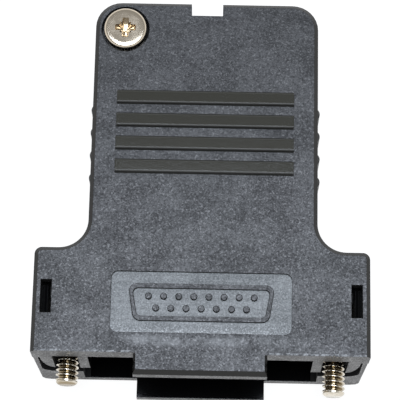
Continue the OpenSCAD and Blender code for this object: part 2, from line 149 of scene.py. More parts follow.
def threaded_rod(length, major, pitch, to_frame, chamfer, count=64, per_pitch=20, plain_tip=0.0):
    """Rings of a helical thread from its chamfered, partly plain tip at 0 to its runout at length."""
    core = major - THREAD_DEPTH * pitch
    tip_drop, lead_drop, runout_slope = 0.06, 0.15, 2
    steps = round(length / pitch * per_pitch)

    def radius(turn, along):
        if along < plain_tip:
            return major - tip_drop - chamfer * max(0, 1 - along / chamfer) ** 2
        lead = core - lead_drop + along * (chamfer + lead_drop) / chamfer if along < chamfer else major
        runout = core + (length - along) * runout_slope
        return min(thread_radius(turn, along, major, pitch), lead, max(runout, core))

    rings = []
    for i in range(steps + 1):
        along = length * i / steps
        ring = []
        for k in range(count):
            r, a = radius(k / count, along), TAU * k / count
            ring.append(to_frame(r * math.cos(a), r * math.sin(a), along))
        rings.append(ring)
    return rings


def box_mesh(name, centre, size):
    """A plain box in millimetres."""
    verts = [
        tuple(centre[axis] + sign[axis] * size[axis] / 2 for axis in range(3))
        for sign in [(sx, sy, sz) for sx in (-1, 1) for sy in (-1, 1) for sz in (-1, 1)]
    ]
    faces = [(0, 1, 3, 2), (4, 6, 7, 5), (0, 4, 5, 1), (2, 3, 7, 6), (0, 2, 6, 4), (1, 5, 7, 3)]
    return link_mesh(name, verts, faces, smooth_angle=1)


def cut(target, cutter):
    """Takes the cutter out of the target for good."""
    modifier = target.modifiers.new("cut", "BOOLEAN")
    modifier.operation = "DIFFERENCE"
    modifier.solver = "EXACT"
    modifier.object = cutter
    bpy.context.view_layer.update()
    depsgraph = bpy.context.evaluated_depsgraph_get()
    mesh = bpy.data.meshes.new_from_object(target.evaluated_get(depsgraph))
    target.modifiers.remove(modifier)
    target.data = mesh
    bpy.data.objects.remove(cutter)


def give(obj, material, body, slot, *replaced):
    """Material, body and replaced CAD nodes of a finished piece; the slot is not used."""
    obj.data.materials.clear()
    obj.data.materials.append(material)
    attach(obj, body)
    if replaced:
        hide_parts(*replaced)


# ------------------------------------------------------------- material helpers

class Nodes:
    """Small builder for a node tree. Values are numbers or the output sockets of other nodes."""

    def __init__(self, tree):
        self.tree = tree

    def add(self, kind, inputs=None, **settings):
        node = self.tree.nodes.new("ShaderNode" + kind)
        for key, value in settings.items():
            setattr(node, key, value)
        for key, value in (inputs or {}).items():
            self.put(node.inputs[key], value)
        return node

    def put(self, socket, value):
        if isinstance(value, bpy.types.NodeSocket):
            self.tree.links.new(value, socket)
        else:
            socket.default_value = value

    def math(self, operation, a, b=0.0, c=0.0, clamp=False):
        return self.add("Math", {0: a, 1: b, 2: c}, operation=operation, use_clamp=clamp).outputs[0]

    def in_turn(self, operation, first, others):
        for other in others:
            first = self.math(operation, first, other)
        return first

    def times(self, first, *others):
        return self.in_turn("MULTIPLY", first, others)

    def plus(self, first, *others):
        return self.in_turn("ADD", first, others)

    def most(self, first, *others):
        return self.in_turn("MAXIMUM", first, others)

    def minus(self, a, b):
        return self.math("SUBTRACT", a, b)

    def outside(self, mask):
        """The reverse of a mask."""
        return self.minus(1.0, mask)

    def over(self, a, b):
        return self.math("GREATER_THAN", a, b)

    def under(self, a, b):
        return self.math("LESS_THAN", a, b)

    def near(self, a, middle, reach):
        return self.math("COMPARE", a, middle, reach)

    def size(self, a):
        return self.math("ABSOLUTE", a)

    def ramp(self, value, low, high, to_low=0.0, to_high=1.0, smooth=True):
        """Takes the range from low to high over to another one, and stays at its ends."""
        kind = "SMOOTHSTEP" if smooth else "LINEAR"
        inputs = {"Value": value, "From Min": low, "From Max": high, "To Min": to_low, "To Max": to_high}
        return self.add("MapRange", inputs, interpolation_type=kind, clamp=True).outputs["Result"]

    def mix(self, factor, a, b):
        """Colour a turned into colour b."""
        node = self.add("Mix", {0: factor}, data_type="RGBA")
        self.put(node.inputs[6], a)
        self.put(node.inputs[7], b)
        return node.outputs[2]

    def blend(self, factor, a, b):
        """Number a turned into number b."""
        return self.add("Mix", {0: factor, 2: a, 3: b}, data_type="FLOAT").outputs[0]

    def parts(self, vector):
        return self.add("SeparateXYZ", {0: vector}).outputs

    def scaled(self, vector, unit_mm):
        """A vector in metres, counted in units of so many millimetres."""
        per_metre = self.math("DIVIDE", 1000.0, unit_mm)
        return self.add("VectorMath", {0: vector, "Scale": per_metre}, operation="SCALE").outputs[0]

    def noise(self, vector, scale, detail=2.0, roughness=0.5, offset=(0, 0, 0)):
        if offset != (0, 0, 0):
            vector = self.add("VectorMath", {0: vector, 1: offset}, operation="ADD").outputs[0]
        inputs = {"Vector": vector, "Scale": scale, "Detail": detail, "Roughness": roughness}
        return self.add("TexNoise", inputs).outputs["Fac"]


def new_group(name, inputs, outputs):
    """A shader node group with named float, vector or colour sockets."""
    tree = bpy.data.node_groups.new(name, "ShaderNodeTree")
    for title, kind, default in inputs:
        socket = tree.interface.new_socket(title, in_out="INPUT", socket_type="NodeSocket" + kind)
        if default is not None:
            socket.default_value = default
    for title, kind in outputs:
        tree.interface.new_socket(title, in_out="OUTPUT", socket_type="NodeSocket" + kind)
    source = tree.nodes.new("NodeGroupInput")
    sink = tree.nodes.new("NodeGroupOutput")
    return tree, Nodes(tree), source.outputs, sink.inputs


def use_group(n, tree, **inputs):
    """Outputs of a group's node, whose inputs are given by their names in small letters."""
    node = n.tree.nodes.new("ShaderNodeGroup")
    node.node_tree = tree
    for key, value in inputs.items():
        n.put(node.inputs[key.title()], value)
    return node.outputs


def spark_eroded_group():
    """Pitted skin of plastic from a spark-eroded mould: fine craters, coarser blotches and bright grains."""
    tree, n, given, out = new_group(
        "spark_eroded",
        [("Vector", "Vector", None), ("Grain", "Float", 0.30), ("Contrast", "Float", 1.0)],
        [("Height", "Float"), ("Tone", "Float"), ("Glint", "Float")],
    )
    grains = n.scaled(given["Vector"], given["Grain"])
    fine = n.noise(grains, scale=1.35, detail=2.0, roughness=0.6)
    blotch = n.noise(grains, scale=0.5, detail=2.0, roughness=0.5, offset=(7.3, 1.9, 4.1))
    slow = n.noise(grains, scale=0.07, detail=3.0, roughness=0.55, offset=(2.6, 6.1, 8.8))
    sparse = n.noise(grains, scale=1.2, detail=1.0, roughness=0.5, offset=(3.1, 8.7, 2.2))
    crater = n.add("TexVoronoi", {"Vector": grains, "Scale": 1.3, "Randomness": 1.0}).outputs["Distance"]
    crater_relief, blotch_relief = 0.35, 0.8
    fine_share, blotch_share, slow_share = 0.70, 0.12, 0.18
    mixed = n.plus(
        n.times(n.ramp(fine, 0.28, 0.76, smooth=False), fine_share),
        n.times(n.ramp(blotch, 0.34, 0.66), blotch_share),
        n.times(n.ramp(slow, 0.36, 0.64), slow_share),
    )
    centred = n.times(n.minus(mixed, 0.5), given["Contrast"])
    n.put(out["Height"], n.plus(fine, n.times(crater, crater_relief), n.times(blotch, blotch_relief)))
    n.put(out["Tone"], n.math("ADD", centred, 0.5, clamp=True))
    n.put(out["Glint"], n.ramp(sparse, 0.58, 0.70))
    return tree


def edge_group():
    """Mask of convex and hollow edges, from how far a rounded normal leans away from the flat one."""
    tree, n, given, out = new_group(
        "edge", [("Radius", "Float", 0.0002)], [("Mask", "Float"), ("Normal", "Vector")]
    )
    rounded = n.add("Bevel", {"Radius": given["Radius"]}, samples=6).outputs[0]
    flat = n.add("NewGeometry").outputs["Normal"]
    lean = n.add("VectorMath", {0: rounded, 1: flat}, operation="DOT_PRODUCT").outputs["Value"]
    n.put(out["Mask"], n.ramp(lean, 0.995, 0.80))
    n.put(out["Normal"], rounded)
    return tree


def room_group():
    """Mask that is 1 inside an upright box round a centre."""
    tree, n, given, out = new_group(
        "room",
        [("Vector", "Vector", None), ("Centre", "Vector", None), ("Half", "Vector", None)],
        [("Mask", "Float")],
    )
    place, centre, half = (n.parts(given[title]) for title in ("Vector", "Centre", "Half"))
    n.put(out["Mask"], n.times(*(n.near(place[axis], centre[axis], half[axis]) for axis in "XYZ")))
    return tree


def smudge_group():
    """Slow variation of handled or plated surfaces."""
    tree, n, given, out = new_group(
        "smudge",
        [("Vector", "Vector", None), ("Size", "Float", 4.0)],
        [("Tone", "Float"), ("Streak", "Float")],
    )
    patches = n.scaled(given["Vector"], given["Size"])
    pulled = n.add("Mapping", {"Vector": patches, "Scale": (1.0, 14.0, 14.0)}).outputs[0]
    n.put(out["Tone"], n.noise(patches, scale=1.0, detail=4.0, roughness=0.55))
    n.put(out["Streak"], n.noise(pulled, scale=1.0, detail=3.0, roughness=0.6, offset=(1.3, 5.2, 9.4)))
    return tree


SPARK = spark_eroded_group()
EDGE = edge_group()
SMUDGE = smudge_group()
ROOM = room_group()


def new_material(name):
    """A material with its Principled shader: the material, its node builder and the shader's inputs."""
    material = bpy.data.materials.new(name)
    material.use_nodes = True
    material.node_tree.nodes.clear()
    n = Nodes(material.node_tree)
    sink = n.add("OutputMaterial")
    shader = n.add("BsdfPrincipled")
    n.put(sink.inputs["Surface"], shader.outputs[0])
    return material, n, shader.inputs


def here(n):
    """The piece's own coordinates, which are the frame's, in metres."""
    return n.add("TexCoord").outputs["Object"]


def within(n, place, rooms):
    """Mask that is 1 inside any of the rooms, each given by its low and high corner in millimetres."""
    masks = []
    for low, high in rooms:
        centre = [(a + b) / 2 * MM for a, b in zip(low, high)]
        half = [(b - a) / 2 * MM for a, b in zip(low, high)]
        masks.append(use_group(n, ROOM, vector=place, centre=centre, half=half)["Mask"])
    return n.most(*masks)


# -------------------------------------------------------------------- materials

# Rooms inside the hood, in millimetres, whose walls come from polished mould cores and get painted shade: low
# and high corners
CORE_ROOMS = [
    ((-12.75, 0.02, -6.95), (12.75, 44.2, 6.75)),
    ((-14.15, 0.02, -6.95), (14.15, 8.7, 6.75)),
    ((-8.3, -2.75, -6.35), (8.3, -0.02, 6.35)),
]
# The jackscrews' channels and the windows over the snap hooks, whose walls get painted shade too
SIDE_ROOMS = [
    ((14.15, 0.02, -8.2), (19.78, 11.7, 7.2)),
    ((-19.78, 0.02, -8.2), (-14.15, 11.7, 7.2)),
    ((18.3, 4.7, 6.2), (19.8, 9.1, 8.28)),
    ((-19.8, 4.7, 6.2), (-18.3, 9.1, 8.28)),
]
# The cover's front edge, and the surroundings of the panel's upright walls, which get painted shade
FRONT_EDGE = [((-FLANGE_HALF_W, -0.06, TOP_Z - 0.3), (FLANGE_HALF_W, 0.26, TOP_Z + 0.3))]
PANEL_WALLS = [(
    (-PANEL_HALF_W - 0.3, PANEL_Y - 0.3, TOP_Z - 0.45),
    (PANEL_HALF_W + 0.3, PANEL_Y + PANEL_L + 0.3, TOP_Z + 0.15),
)]

BAR_BLACK = (0.034, 0.033, 0.026, 1)
BEVEL_BLACK = (0.008, 0.008, 0.007, 1)
# The panel's colours are lifted as a painted sheen of the overhead light, varied by the grain
PANEL_SHEEN_DARK, PANEL_SHEEN_LIGHT = (0.014, 0.019, 0.020, 1), (0.046, 0.056, 0.058, 1)
# Pale grey of the flecks, the wiped patch, the scratches and the paler front edge line
PALE_MARK_GREY = (0.32, 0.335, 0.35, 1)
EDGE_GREY = (0.10, 0.10, 0.10, 1)
# Painted shade on the panel's upright walls
WALL_SHADE_BLACK = (0.001, 0.001, 0.0012, 1)
# Painted shade inside the hood, in the jackscrews' channels and on the hooks' tips
SHADE_BLACK = (0.002, 0.002, 0.0022, 1)
ROOT_BROWN = (0.30, 0.24, 0.15, 1)
ZINC_DARK, ZINC_LIGHT, ZINC_EDGE = (0.33, 0.34, 0.35, 1), (0.50, 0.51, 0.52, 1), (0.68, 0.68, 0.68, 1)
# Roughness of plastic from a polished mould, and of walls that nothing brightens
POLISHED, DULL = 0.12, 0.8


class Plastic:
    """Colour, roughness, gloss and relief of a plastic, built up from the common skin."""

    def __init__(self, n, dark, light):
        self.n = n
        self.place = here(n)
        self.skin = use_group(n, SPARK, vector=self.place, grain=0.27, contrast=1.7)
        self.streak = use_group(n, SMUDGE, vector=self.place, size=9.0)["Streak"]
        tone_gloss, glint_gloss = 0.75, 1.0
        dark_rough, light_rough = 0.56, 0.44
        self.gloss = n.plus(n.times(self.skin["Tone"], tone_gloss), n.times(self.skin["Glint"], glint_gloss))
        self.colour = n.mix(self.skin["Tone"], dark, light)
        self.rough = n.ramp(self.skin["Tone"], 0.0, 1.0, dark_rough, light_rough, smooth=False)
        self.relief = self.skin["Height"]
        self.smooth = 0.0
        self.upright = 0.0

    def finish_zones(self):
        """Grip bars, bevels and recessed panel of the cover, with its wear and pale marks, a painted sheen on
        the panel and painted shade on the panel's walls.
        """
        n, skin = self.n, self.skin
        where = n.parts(self.place)
        # how far a face looks up: 1 for level ones, 0 for upright ones
        facing = n.parts(n.add("NewGeometry").outputs["Normal"])["Z"]
        level, nearly_level, leaning = 0.998, 0.97, 0.9
        margin, bar_foot, bevel_foot = 0.1, TOP_Z + 0.03, 7
        bars = n.over(where["Z"], bar_foot * MM)
        panel = n.times(
            n.near(where["Z"], PANEL_LEVEL * MM, margin * MM),
            n.near(where["Y"], PANEL_MIDDLE * MM, (PANEL_L / 2 + margin) * MM),
            n.over(facing, nearly_level),
        )
        sloping = n.times(n.ramp(facing, 0.15, 0.3), n.ramp(facing, 0.93, 0.85))
        bevels = n.times(sloping, n.over(where["Z"], bevel_foot * MM))
        self.smooth = n.most(bars, panel, bevels)
        self.colour = n.mix(bars, self.colour, BAR_BLACK)
        self.colour = n.mix(bevels, self.colour, BEVEL_BLACK)
        # painted sheen: the smooth panel's colour is lifted to stand in for the overhead light it reflects
        self.colour = n.mix(panel, self.colour, n.mix(skin["Tone"], PANEL_SHEEN_DARK, PANEL_SHEEN_LIGHT))
        streak_gloss = 0.42
        self.gloss = n.times(self.gloss, n.outside(n.most(bars, bevels)))
        self.gloss = n.plus(self.gloss, n.times(panel, n.ramp(self.streak, 0.35, 0.65, 0.0, streak_gloss)))

        self.wear(where, facing, panel)

        # painted shade: the panel's upright walls are coloured near black and lose their gloss
        self.upright = n.times(within(n, self.place, PANEL_WALLS), n.under(facing, leaning))
        self.colour = n.mix(self.upright, self.colour, WALL_SHADE_BLACK)
        self.gloss = n.times(self.gloss, n.outside(self.upright))
        bar_edges = n.times(bars, n.under(facing, level))
        for mask, roughness in ((self.smooth, POLISHED), (bar_edges, 0.5), (panel, 0.30)):
            self.rough = n.blend(mask, self.rough, roughness)
        flattened = 0.75
        self.relief = n.times(self.relief, n.outside(n.times(self.smooth, flattened)))

    def wear(self, where, facing, panel):
        """Flecks, a paler broken line along the front edge, a wiped patch and scratches on the faces that
        look up.
        """
        n, place = self.n, self.place
        across = n.size(where["X"])
        from_rim = n.minus(where["Y"], PANEL_Y * MM)
        top_faces = 0.8
        on_top = n.over(facing, top_faces)

        # pale flecks over the panel's front part
        specks = n.noise(place, scale=5200.0, detail=2.0, roughness=0.6, offset=(0.4, 0.1, 0.7))
        near_rim = n.ramp(from_rim, 0.2 * MM, 1.5 * MM, 0.9, 0.1)
        flecks = n.times(panel, near_rim, n.ramp(specks, 0.50, 0.72))

        # paler broken line along the front edge either side of the tab
        tab_half_w = 8.4
        chips = n.noise(place, scale=1500.0, detail=3.0, roughness=0.7)
        front_edge = n.times(within(n, place, FRONT_EDGE), n.over(across, tab_half_w * MM))
        pale_edge = n.times(front_edge, n.ramp(chips, 0.44, 0.62))

        # a wiped patch between the panel and the front edge
        before_panel = 1.0
        smears = n.noise(place, scale=300.0, detail=3.0, roughness=0.65, offset=(0.9, 0.3, 0.2))
        off_middle = n.size(n.plus(from_rim, before_panel * MM))
        in_length = n.ramp(off_middle, 0.2 * MM, 0.9 * MM, 1, 0)
        in_width = n.ramp(across, 8.5 * MM, 11.2 * MM, 1, 0)
        wiped = n.times(in_length, in_width, n.ramp(smears, 0.42, 0.68))

        # a few curved scratches in the flange's top
        flange_end, hairline = 13, 0.006
        hills = n.noise(place, scale=75.0, detail=1.0, roughness=0.4, offset=(0.2, 0.5, 0.1))
        stretches = n.noise(place, scale=110.0, detail=1.0, roughness=0.5, offset=(0.7, 0.9, 0.3))
        contour = n.ramp(n.size(n.minus(hills, 0.5)), 0.0, hairline, 1, 0)
        on_flange = n.times(n.outside(self.smooth), n.under(where["Y"], flange_end * MM))
        scratches = n.times(contour, n.ramp(stretches, 0.56, 0.64), on_flange)

        pale_edge_share, wiped_share, scratch_share, wiped_gloss = 0.6, 0.27, 0.18, 0.4
        pale_marks = n.most(
            flecks,
            n.times(pale_edge, pale_edge_share),
            n.times(wiped, wiped_share),
            n.times(scratches, scratch_share),
        )
        self.colour = n.mix(n.times(pale_marks, on_top), self.colour, PALE_MARK_GREY)
        self.gloss = n.plus(self.gloss, n.times(wiped, on_top, wiped_gloss))

    def shade_inside(self):
        """Painted shade on the walls of the rooms inside the hood: near black and ungrained, polished in the
        cores, dull in the side rooms and on the panel's walls.
        """
        n = self.n
        core = within(n, self.place, CORE_ROOMS)
        side = within(n, self.place, SIDE_ROOMS)
        shade_rooms = n.most(core, side)
        grained = n.outside(shade_rooms)
        # painted shade: the rooms' walls are coloured near black
        self.colour = n.mix(shade_rooms, self.colour, SHADE_BLACK)
        self.gloss = n.times(self.gloss, grained)
        self.relief = n.times(self.relief, grained)
        self.rough = n.blend(core, self.rough, POLISHED)
        self.rough = n.blend(n.most(side, self.upright), self.rough, DULL)


def plastic(name, dark, light, zones):
    """Black moulded plastic, with painted shade inside the hood. Where zones is true, bars, panel and bevels
    get their own finish, with a painted sheen on the panel and painted shade on its walls.
    """
    material, n, shader = new_material(name)
    finish = Plastic(n, dark, light)
    edge = use_group(n, EDGE, radius=0.1 * MM)
    if zones:
        finish.finish_zones()
    # grained faces are paler along convex and hollow edges
    pale_edge_share = 0.25
    pale_edge = n.times(edge["Mask"], n.outside(finish.smooth), pale_edge_share)
    finish.colour = n.mix(pale_edge, finish.colour, EDGE_GREY)
    finish.shade_inside()
    relief = {"Strength": 0.5, "Distance": 0.05 * MM, "Height": finish.relief, "Normal": edge["Normal"]}
    n.put(shader["Base Color"], finish.colour)
    n.put(shader["Roughness"], finish.rough)
    n.put(shader["Coat Weight"], finish.gloss)
    n.put(shader["Normal"], n.add("Bump", relief).outputs[0])
    shader["Coat Roughness"].default_value = 0.42
    shader["Specular IOR Level"].default_value = 0.38
    return material


def hook_shade_plastic(name):
    """Plastic of the hooks' tips, deep in their windows, with painted shade: coloured near black, with little
    reflection.
    """
    material, n, shader = new_material(name)
    skin = use_group(n, SPARK, vector=here(n), grain=0.3, contrast=1.0)
    # painted shade: the tips are coloured near black
    n.put(shader["Base Color"], n.mix(skin["Tone"], SHADE_BLACK, (0.004, 0.004, 0.0045, 1)))
    n.put(shader["Roughness"], n.ramp(skin["Tone"], 0, 1, 0.75, 0.55))
    shader["Specular IOR Level"].default_value = 0.08
    return material


def thread_shade(n, place):
    """Mask of the jackscrews' thread roots, from how far they lie from their screw's axis."""
    low, high = box_mm("right_jackscrew")
    axis_x, axis_z = (low.x + high.x) / 2, (low.z + high.z) / 2
    root_r, crest_r = STUD_R - 0.33, STUD_R - 0.04
    tip, behind_tip = low.y + 0.4, low.y + 0.7
    where = n.parts(place)
    across = n.minus(n.size(where["X"]), axis_x * MM)
    off_axis = n.add("CombineXYZ", {0: across, 1: n.minus(where["Z"], axis_z * MM)}).outputs[0]
    from_axis = n.add("VectorMath", {0: off_axis}, operation="LENGTH").outputs["Value"]
    in_root = n.ramp(from_axis, crest_r * MM, root_r * MM)
    return n.times(in_root, n.ramp(where["Y"], tip * MM, behind_tip * MM))


def metal(name, dark, light, rough_low, rough_high, shaded_threads=False):
    """Plated metal with a slow tarnish and fine streaks."""
    material, n, shader = new_material(name)
    place = here(n)
    slow = use_group(n, SMUDGE, vector=place, size=1.6)
    streaks = 0.5
    tone = n.plus(n.times(slow["Streak"], streaks), n.times(slow["Tone"], 1 - streaks))
    colour = n.mix(n.ramp(tone, 0.35, 0.65), dark, light)
    if shaded_threads:
        colour = n.mix(thread_shade(n, place), colour, ROOT_BROWN)
    relief = {"Strength": 0.25, "Distance": 0.01 * MM, "Height": slow["Streak"]}
    n.put(shader["Base Color"], colour)
    n.put(shader["Roughness"], n.ramp(slow["Tone"], 0.3, 0.7, rough_high, rough_low))
    n.put(shader["Normal"], n.add("Bump", relief).outputs[0])
    shader["Metallic"].default_value = 1.0
    return material


def cast_zinc(name):
    """Grained die casting with brighter edges."""
    material, n, shader = new_material(name)
    skin = use_group(n, SPARK, vector=here(n), grain=0.22, contrast=0.8)
    edge = use_group(n, EDGE, radius=0.2 * MM)
    colour = n.mix(skin["Tone"], ZINC_DARK, ZINC_LIGHT)
    edge_share = 0.6
    relief = {"Strength": 0.4, "Distance": 0.03 * MM, "Height": skin["Height"], "Normal": edge["Normal"]}
    n.put(shader["Base Color"], n.mix(n.times(edge["Mask"], edge_share), colour, ZINC_EDGE))
    n.put(shader["Roughness"], n.ramp(skin["Tone"], 0, 1, 0.55, 0.38))
    n.put(shader["Normal"], n.add("Bump", relief).outputs[0])
    shader["Metallic"].default_value = 1.0
    return material


COVER_PLASTIC = plastic(
    "cover_plastic", dark=(0.007, 0.0075, 0.009, 1), light=(0.014, 0.015, 0.018, 1), zones=True,
)
BASE_PLASTIC = plastic(
    "base_plastic", dark=(0.006, 0.0062, 0.007, 1), light=(0.011, 0.0115, 0.013, 1), zones=False,
)
HOOK_SHADE_PLASTIC = hook_shade_plastic("hook_shade_plastic")
NICKEL = metal(
    "nickel", dark=(0.60, 0.525, 0.42, 1), light=(0.72, 0.64, 0.52, 1), rough_low=0.12, rough_high=0.20,
)
BRIGHT_NICKEL = metal(
    "bright_nickel", dark=(0.52, 0.46, 0.36, 1), light=(0.80, 0.75, 0.66, 1),
    rough_low=0.12, rough_high=0.22, shaded_threads=True,
)
SPRING_STEEL = metal(
    "spring_steel", dark=(0.045, 0.047, 0.05, 1), light=(0.10, 0.105, 0.11, 1),
    rough_low=0.40, rough_high=0.55,
)
ZINC = cast_zinc("zinc")


# ------------------------------------------------------------------- the pieces

def dress_cad_nodes():
    """Finishes of the CAD pieces that are shown as they are."""
    finishes = {
        "cover_shell": COVER_PLASTIC,
        "base_shell": BASE_PLASTIC,
        "clamp_saddle_upper": ZINC,
        "clamp_saddle_lower": ZINC,
    }
    for node, material in finishes.items():
        NODES[node].data.materials.clear()
        NODES[node].data.materials.append(material)


def build_jackscrew(side):
    """Jackscrew with a real helical thread, ring groove and knurled, slotted head."""
    node = side + "_jackscrew"
    low, high = box_mm(node)
    ring_low, ring_high = box_mm(side + "_retaining_ring")
    x, z = (low.x + high.x) / 2, (low.z + high.z) / 2
    groove_r, shank_r, head_r = 0.95, 1.1, (high.x - low.x) / 2
    head_l, play, fillet, head_step = 3.0, 0.05, 0.1, 0.3
    # places along the axis, from the tip
    plain_shank = 0.6
    thread_end = ring_low.y - low.y - plain_shank
    groove_start, groove_end = ring_low.y - low.y - play, ring_high.y - low.y + play
    head_start = high.y - head_l - low.y

    def to_frame(u, v, along):
        return (x + u, low.y + along, z + v)

    rings = threaded_rod(thread_end, STUD_R, UNC_PITCH, to_frame, chamfer=0.35, plain_tip=0.4)
    count = len(rings[0])
    profile = [
        (shank_r, thread_end + play), (shank_r, groove_start), (groove_r, groove_start),
        (groove_r, groove_end), (shank_r, groove_end), (shank_r, head_start - fillet),
        (shank_r + fillet, head_start), (head_r - head_step, head_start),
    ]
    rings += [circle_points(r, along, count, to_frame) for r, along in profile]
    shaft = link_mesh(node + "_shaft", *tube(rings))

    knurls, per_knurl, knurl_depth = 30, 4, 0.09
    around = knurls * per_knurl
    head_rings = []
    # how far each ring of the head stands in from its full radius, and where along the head it is
    sections = [
        (head_step, 0.0), (0.05, 0.0), (0.0, 0.25), (0.0, 2.6), (0.08, 2.72), (0.35, head_l), (0.9, head_l)
    ]
    for shrink, along in sections:
        ring = []
        for k in range(around):
            groove = 0.0 if shrink else knurl_depth * (0.5 - 0.5 * math.cos(TAU * knurls * k / around))
            radius, a = head_r - shrink - groove, TAU * k / around
            ring.append(to_frame(radius * math.cos(a), radius * math.sin(a), head_start + along))
        head_rings.append(ring)
    head = link_mesh(node + "_head", *tube(head_rings), smooth_angle=40)
    slot_w, slot_d, past = 0.7, 1.1, 0.5
    cut(head, box_mesh("slot", (x, high.y, z), (2 * (head_r + past), 2 * slot_d, slot_w)))
    shade(head, smooth_angle=40)
    give(shaft, BRIGHT_NICKEL, side + "_screw", "nickel", node)
    give(head, BRIGHT_NICKEL, side + "_screw", "nickel")


def cross_cutter(name, centre, top, reach, width, depth):
    """Tapered cross for the recess of a screw head, with the small diagonal ribs of a star-cross driver."""

    def plan(half_w, half_l):
        inner, rib, narrowed, rib_tip = half_w * 1.3, half_w * 0.32, 0.82, 0.6
        corner = (
            (half_l, -half_w * narrowed), (half_l, half_w * narrowed), (inner, half_w), (inner + rib, inner),
            (inner + rib * rib_tip, inner + rib * rib_tip), (inner, inner + rib), (half_w, inner),
        )
        turns = [Matrix.Rotation(quarter * math.pi / 2, 2) for quarter in range(4)]
        return [turn @ Vector(point) for turn in turns for point in corner]

    # share of the depth, of the width and of the reach at each level, from a little above the top
    above = 0.3
    shares = [(-above / depth, 1.15, 1.1), (0, 1, 1), (0.4, 0.85, 0.8), (0.75, 0.6, 0.42), (1, 0.1, 0.07)]
    rings = []
    for down, w, l in shares:
        level = top - depth * down
        rings.append([(centre[0] + p.x, centre[1] + p.y, level) for p in plan(width * w, reach * l)])
    return link_mesh(name, *tube(rings), smooth_angle=1)


def build_pan_screw(node, head_height):
    """Pan-head screw with a flat-crowned head, a cross recess and a helical thread, standing upright."""
    low, high = box_mm(node)
    x, y = (low.x + high.x) / 2, (low.y + high.y) / 2
    head_r = (high.x - low.x) / 2
    seat = high.z - head_height

    def from_tip(u, v, up):
        return (x + u, y + v, low.z + up)

    def from_seat(u, v, up):
        return (x + u, y + v, seat + up)

    neck, around = 0.3, 48
    thread_end = seat - low.z - neck
    rings = threaded_rod(thread_end, M3_R, M3_PITCH, from_tip, chamfer=0.3, count=around, per_pitch=12)
    rings.append(circle_points(M3_R, seat - low.z, around, from_tip))
    shank = link_mesh(node + "_thread", *tube(rings))

    # the head's side, its rounded rim and its nearly flat crown
    round_r, crown, head_around = 0.42, 0.01, 72
    round_centre = head_height - crown - round_r
    profile = [(head_r - 0.25, 0.0), (head_r - 0.05, 0.06), (head_r, 0.2), (head_r, round_centre)]
    round_steps, round_turn = 8, math.radians(82)
    for i in range(1, round_steps + 1):
        a = i / round_steps * round_turn
        profile.append((head_r - round_r * (1 - math.cos(a)), round_centre + round_r * math.sin(a)))
    edge_r, edge_z = profile[-1]
    crown_steps = 5
    for i in range(1, crown_steps):
        share = i / crown_steps
        profile.append((edge_r * (1 - share), edge_z + (head_height - edge_z) * (1 - (1 - share) ** 2)))
    profile.append((0.05, head_height))
    rings = [circle_points(r, up, head_around, from_seat) for r, up in profile]
    head = link_mesh(node + "_head", *tube(rings), smooth_angle=50)
    cut(head, cross_cutter("cross", (x, y), high.z, reach=1.32, width=0.46, depth=1.5))
    shade(head, smooth_angle=28)
    give(shank, NICKEL, "hood", "nickel", node)
    give(head, NICKEL, "hood", "nickel")


def build_hex_nut(node):
    """Hexagon nut with chamfered corners and a countersunk bore."""
    low, high = box_mm(node)
    x, y = (low.x + high.x) / 2, (low.y + high.y) / 2
    apothem = (high.y - low.y) / 2
    around, sixth = 96, math.pi / 3
    chamfer_r, slope = apothem * 0.95, math.tan(math.radians(30))
    mouth_r, mouth_d = 1.65, 0.2

    def outer(k):
        return apothem / math.cos((TAU * k / around + sixth / 2) % sixth - sixth / 2)

    def hexagon(end, inward):
        """A ring on the hexagon's sides, deeper in at its chamfered corners."""
        radii = [outer(k) for k in range(around)]
        return [(r, end + inward * max(0.0, r - chamfer_r) * slope) for r in radii]

    def circle(radius, height):
        return [(radius, height)] * around

    # the hexagon's corners lie on the X axis
    turns = [TAU * k / around + sixth / 2 for k in range(around)]
    rings = [
        [(x + r * math.cos(a), y + r * math.sin(a), up) for (r, up), a in zip(ring, turns)]
        for ring in (
            circle(M3_BORE_R, low.z + mouth_d), circle(mouth_r, low.z), circle(chamfer_r, low.z),
            hexagon(low.z, 1), hexagon(high.z, -1),
            circle(chamfer_r, high.z), circle(mouth_r, high.z), circle(M3_BORE_R, high.z - mouth_d),
        )
    ]
    verts, faces = tube(rings, capped=False)
    last = len(verts) - around
    faces += [(last + k, last + (k + 1) % around, (k + 1) % around, k) for k in range(around)]
    nut = link_mesh(node + "_chamfered", verts, faces, smooth_angle=25)
    give(nut, NICKEL, "hood", "nickel", node)


def build_retaining_ring(side):
    """Open ring stamped from spring steel, with two inner lugs and an open mouth at the top."""
    node = side + "_retaining_ring"
    low, high = box_mm(node)
    inner_r, outer_r = 1.0, (high.x - low.x) / 2
    x, z = (low.x + high.x) / 2, low.z + outer_r
    # half the mouth's angle, from the top, at the inner and at the outer edge
    mouth, outer_mouth = math.radians(52), math.radians(52) * 0.44
    lug_h, lug_width = 0.38, 1.9
    steps, top = 72, math.pi / 2
    outline = []
    for i in range(steps + 1):
        a = top + outer_mouth + (TAU - 2 * outer_mouth) * i / steps
        outline.append((outer_r * math.cos(a), outer_r * math.sin(a)))
    for i in range(steps + 1):
        a = top - mouth - (TAU - 2 * mouth) * i / steps
        lug = 0.5 + 0.5 * math.cos(3 * (a - top))
        r = inner_r + lug_h * (1 - min(1, lug * lug_width))
        outline.append((r * math.cos(a), r * math.sin(a)))
    edge = 0.06
    rings = []
    for y, shrink in ((low.y, edge), (low.y + edge, 0), (high.y - edge, 0), (high.y, edge)):
        ring = []
        for u, v in outline:
            radius = math.hypot(u, v)
            inside = radius < (outer_r + inner_r) / 2
            k = 1 + (shrink if inside else -shrink) / radius
            ring.append((x + u * k, y, z + v * k))
        rings.append(ring)
    stamped = link_mesh(node + "_stamped", *tube(rings), smooth_angle=30)
    give(stamped, SPRING_STEEL, side + "_ring", "spring_steel", node)


